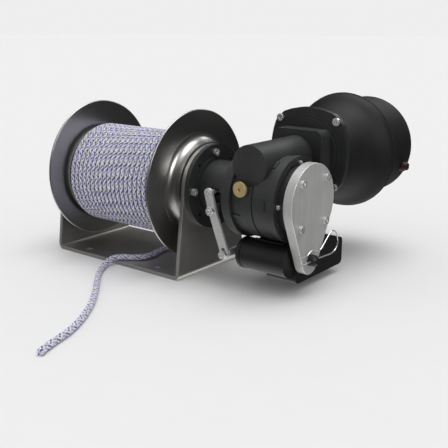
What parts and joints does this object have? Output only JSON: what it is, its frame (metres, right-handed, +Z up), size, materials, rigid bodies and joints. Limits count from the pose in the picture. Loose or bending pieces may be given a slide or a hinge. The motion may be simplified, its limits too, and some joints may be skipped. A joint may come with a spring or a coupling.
{
  "type": "drum anchor windlass",
  "caption": "Electric drum windlass: a worm gearbox turns a rope drum through a cone clutch, which an actuator and lever open for free fall.",
  "frame": {"origin": "centre of the deck bolt pattern, on the underside of the cradle's base plate", "axes": "+X along the drum shaft from the drum to the gearbox, +Y from the lever side to the motor, +Z up from the deck"},
  "size_m": [0.4365, 0.5935, 0.232],
  "materials": {
    "cradle_steel": "brushed stainless sheet",
    "drum_steel": "polished stainless",
    "black_cast": "matt black powder coat",
    "black_sheet": "satin black paint",
    "black_alloy": "black anodised",
    "black_plastic": "fine grain black",
    "plate_steel": "brushed stainless plate",
    "lever_steel": "bright stainless",
    "bright_steel": "bright zinc or stainless",
    "shaft_steel": "ground",
    "bronze": "machined bronze",
    "brass": "machined brass",
    "lining": "moulded friction lining",
    "rope": "braided polyester",
    "black_rubber": "matt",
    "red_rubber": "matt dark red",
    "copper": "copper",
    "magnet": "sintered",
    "carbon": "carbon"
  },
  "bodies": {
    "frame": {"cradle": "cradle_steel", "idle_housing": "black_alloy", "idle_bush": "bronze", "idle_cap": "black_plastic", "idle_bolts": "bright_steel", "rope_tail": "rope", "clutch_housing": "black_alloy", "housing_bolts": "bright_steel", "pivot_stud": "bright_steel", "pivot_nut": "bright_steel", "gearbox_case": "black_cast", "gearbox_cover": "black_alloy", "cover_screws": "bright_steel", "gear_bearings": "shaft_steel", "shaft_seal": "black_rubber", "worm_end_cap": "black_cast", "oil_plug": "brass", "worm_bearings": "shaft_steel", "motor_flange": "black_alloy", "flange_gasket": "black_rubber", "flange_bolts": "bright_steel", "motor_can": "black_sheet", "motor_magnets": "magnet", "motor_brushes": "carbon", "bell_cover": "black_sheet", "rear_cover": "black_sheet", "boot_red": "red_rubber", "boot_black": "black_rubber", "anchor_plate": "plate_steel", "plate_screws": "bright_steel", "actuator_cap": "black_plastic", "actuator_tube": "black_plastic", "actuator_housing": "black_plastic", "actuator_motor": "shaft_steel", "actuator_stud": "black_plastic"},
    "drum": {"drum_barrel": "drum_steel", "drum_flange_left": "drum_steel", "drum_flange_right": "drum_steel", "drum_hub_shell": "drum_steel", "clutch_cup": "shaft_steel", "drum_bushes": "bronze", "wound_rope": "rope"},
    "shaft": {"main_shaft": "shaft_steel", "shaft_circlips": "shaft_steel", "shaft_keys": "shaft_steel", "worm_wheel": "bronze"},
    "worm": {"worm_shaft": "shaft_steel", "motor_coupling": "shaft_steel", "motor_armature": "shaft_steel", "commutator": "copper"},
    "clutch": {"clutch_cone": "shaft_steel", "clutch_lining": "lining"},
    "lever": {"lever": "lever_steel", "shift_pin": "bright_steel"},
    "rod": {"actuator_rod": "bright_steel", "rod_end": "bright_steel", "link_stud": "bright_steel", "link_nut": "bright_steel"},
    "clip": {"r_clip": "bright_steel"}
  },
  "joints": [
    {"name": "drum_spin", "type": "hinge", "parent": "frame", "child": "drum", "pos_m": [0, 0, 0.117], "axis": [1, 0, 0], "continuous": true},
    {"name": "shaft_spin", "type": "hinge", "parent": "frame", "child": "shaft", "pos_m": [0, 0, 0.117], "axis": [1, 0, 0], "continuous": true},
    {"name": "worm_spin", "type": "hinge", "parent": "frame", "child": "worm", "pos_m": [0.215, 0, 0.1615], "axis": [0, 1, 0], "continuous": true},
    {"name": "clutch_slide", "type": "slide", "parent": "shaft", "child": "clutch", "axis": [1, 0, 0], "range_m": [0, 0.009]},
    {"name": "lever_swing", "type": "hinge", "parent": "frame", "child": "lever", "pos_m": [0.157, -0.044, 0.097], "axis": [0, 1, 0], "range_deg": [0, 23]},
    {"name": "rod_slide", "type": "slide", "parent": "frame", "child": "rod", "axis": [-1, 0, 0], "range_m": [0, 0.0221]},
    {"name": "clip_pull", "type": "slide", "parent": "frame", "child": "clip", "axis": [0, 1, 0], "range_m": [0, 0.06]}
  ],
  "couplings": [
    {"joint": "worm_spin", "follows": "shaft_spin", "ratio": 33},
    {"joint": "lever_swing", "follows": "clutch_slide", "rad_per_m": 44.56},
    {"joint": "rod_slide", "follows": "clutch_slide", "ratio": 2.444}
  ]
}
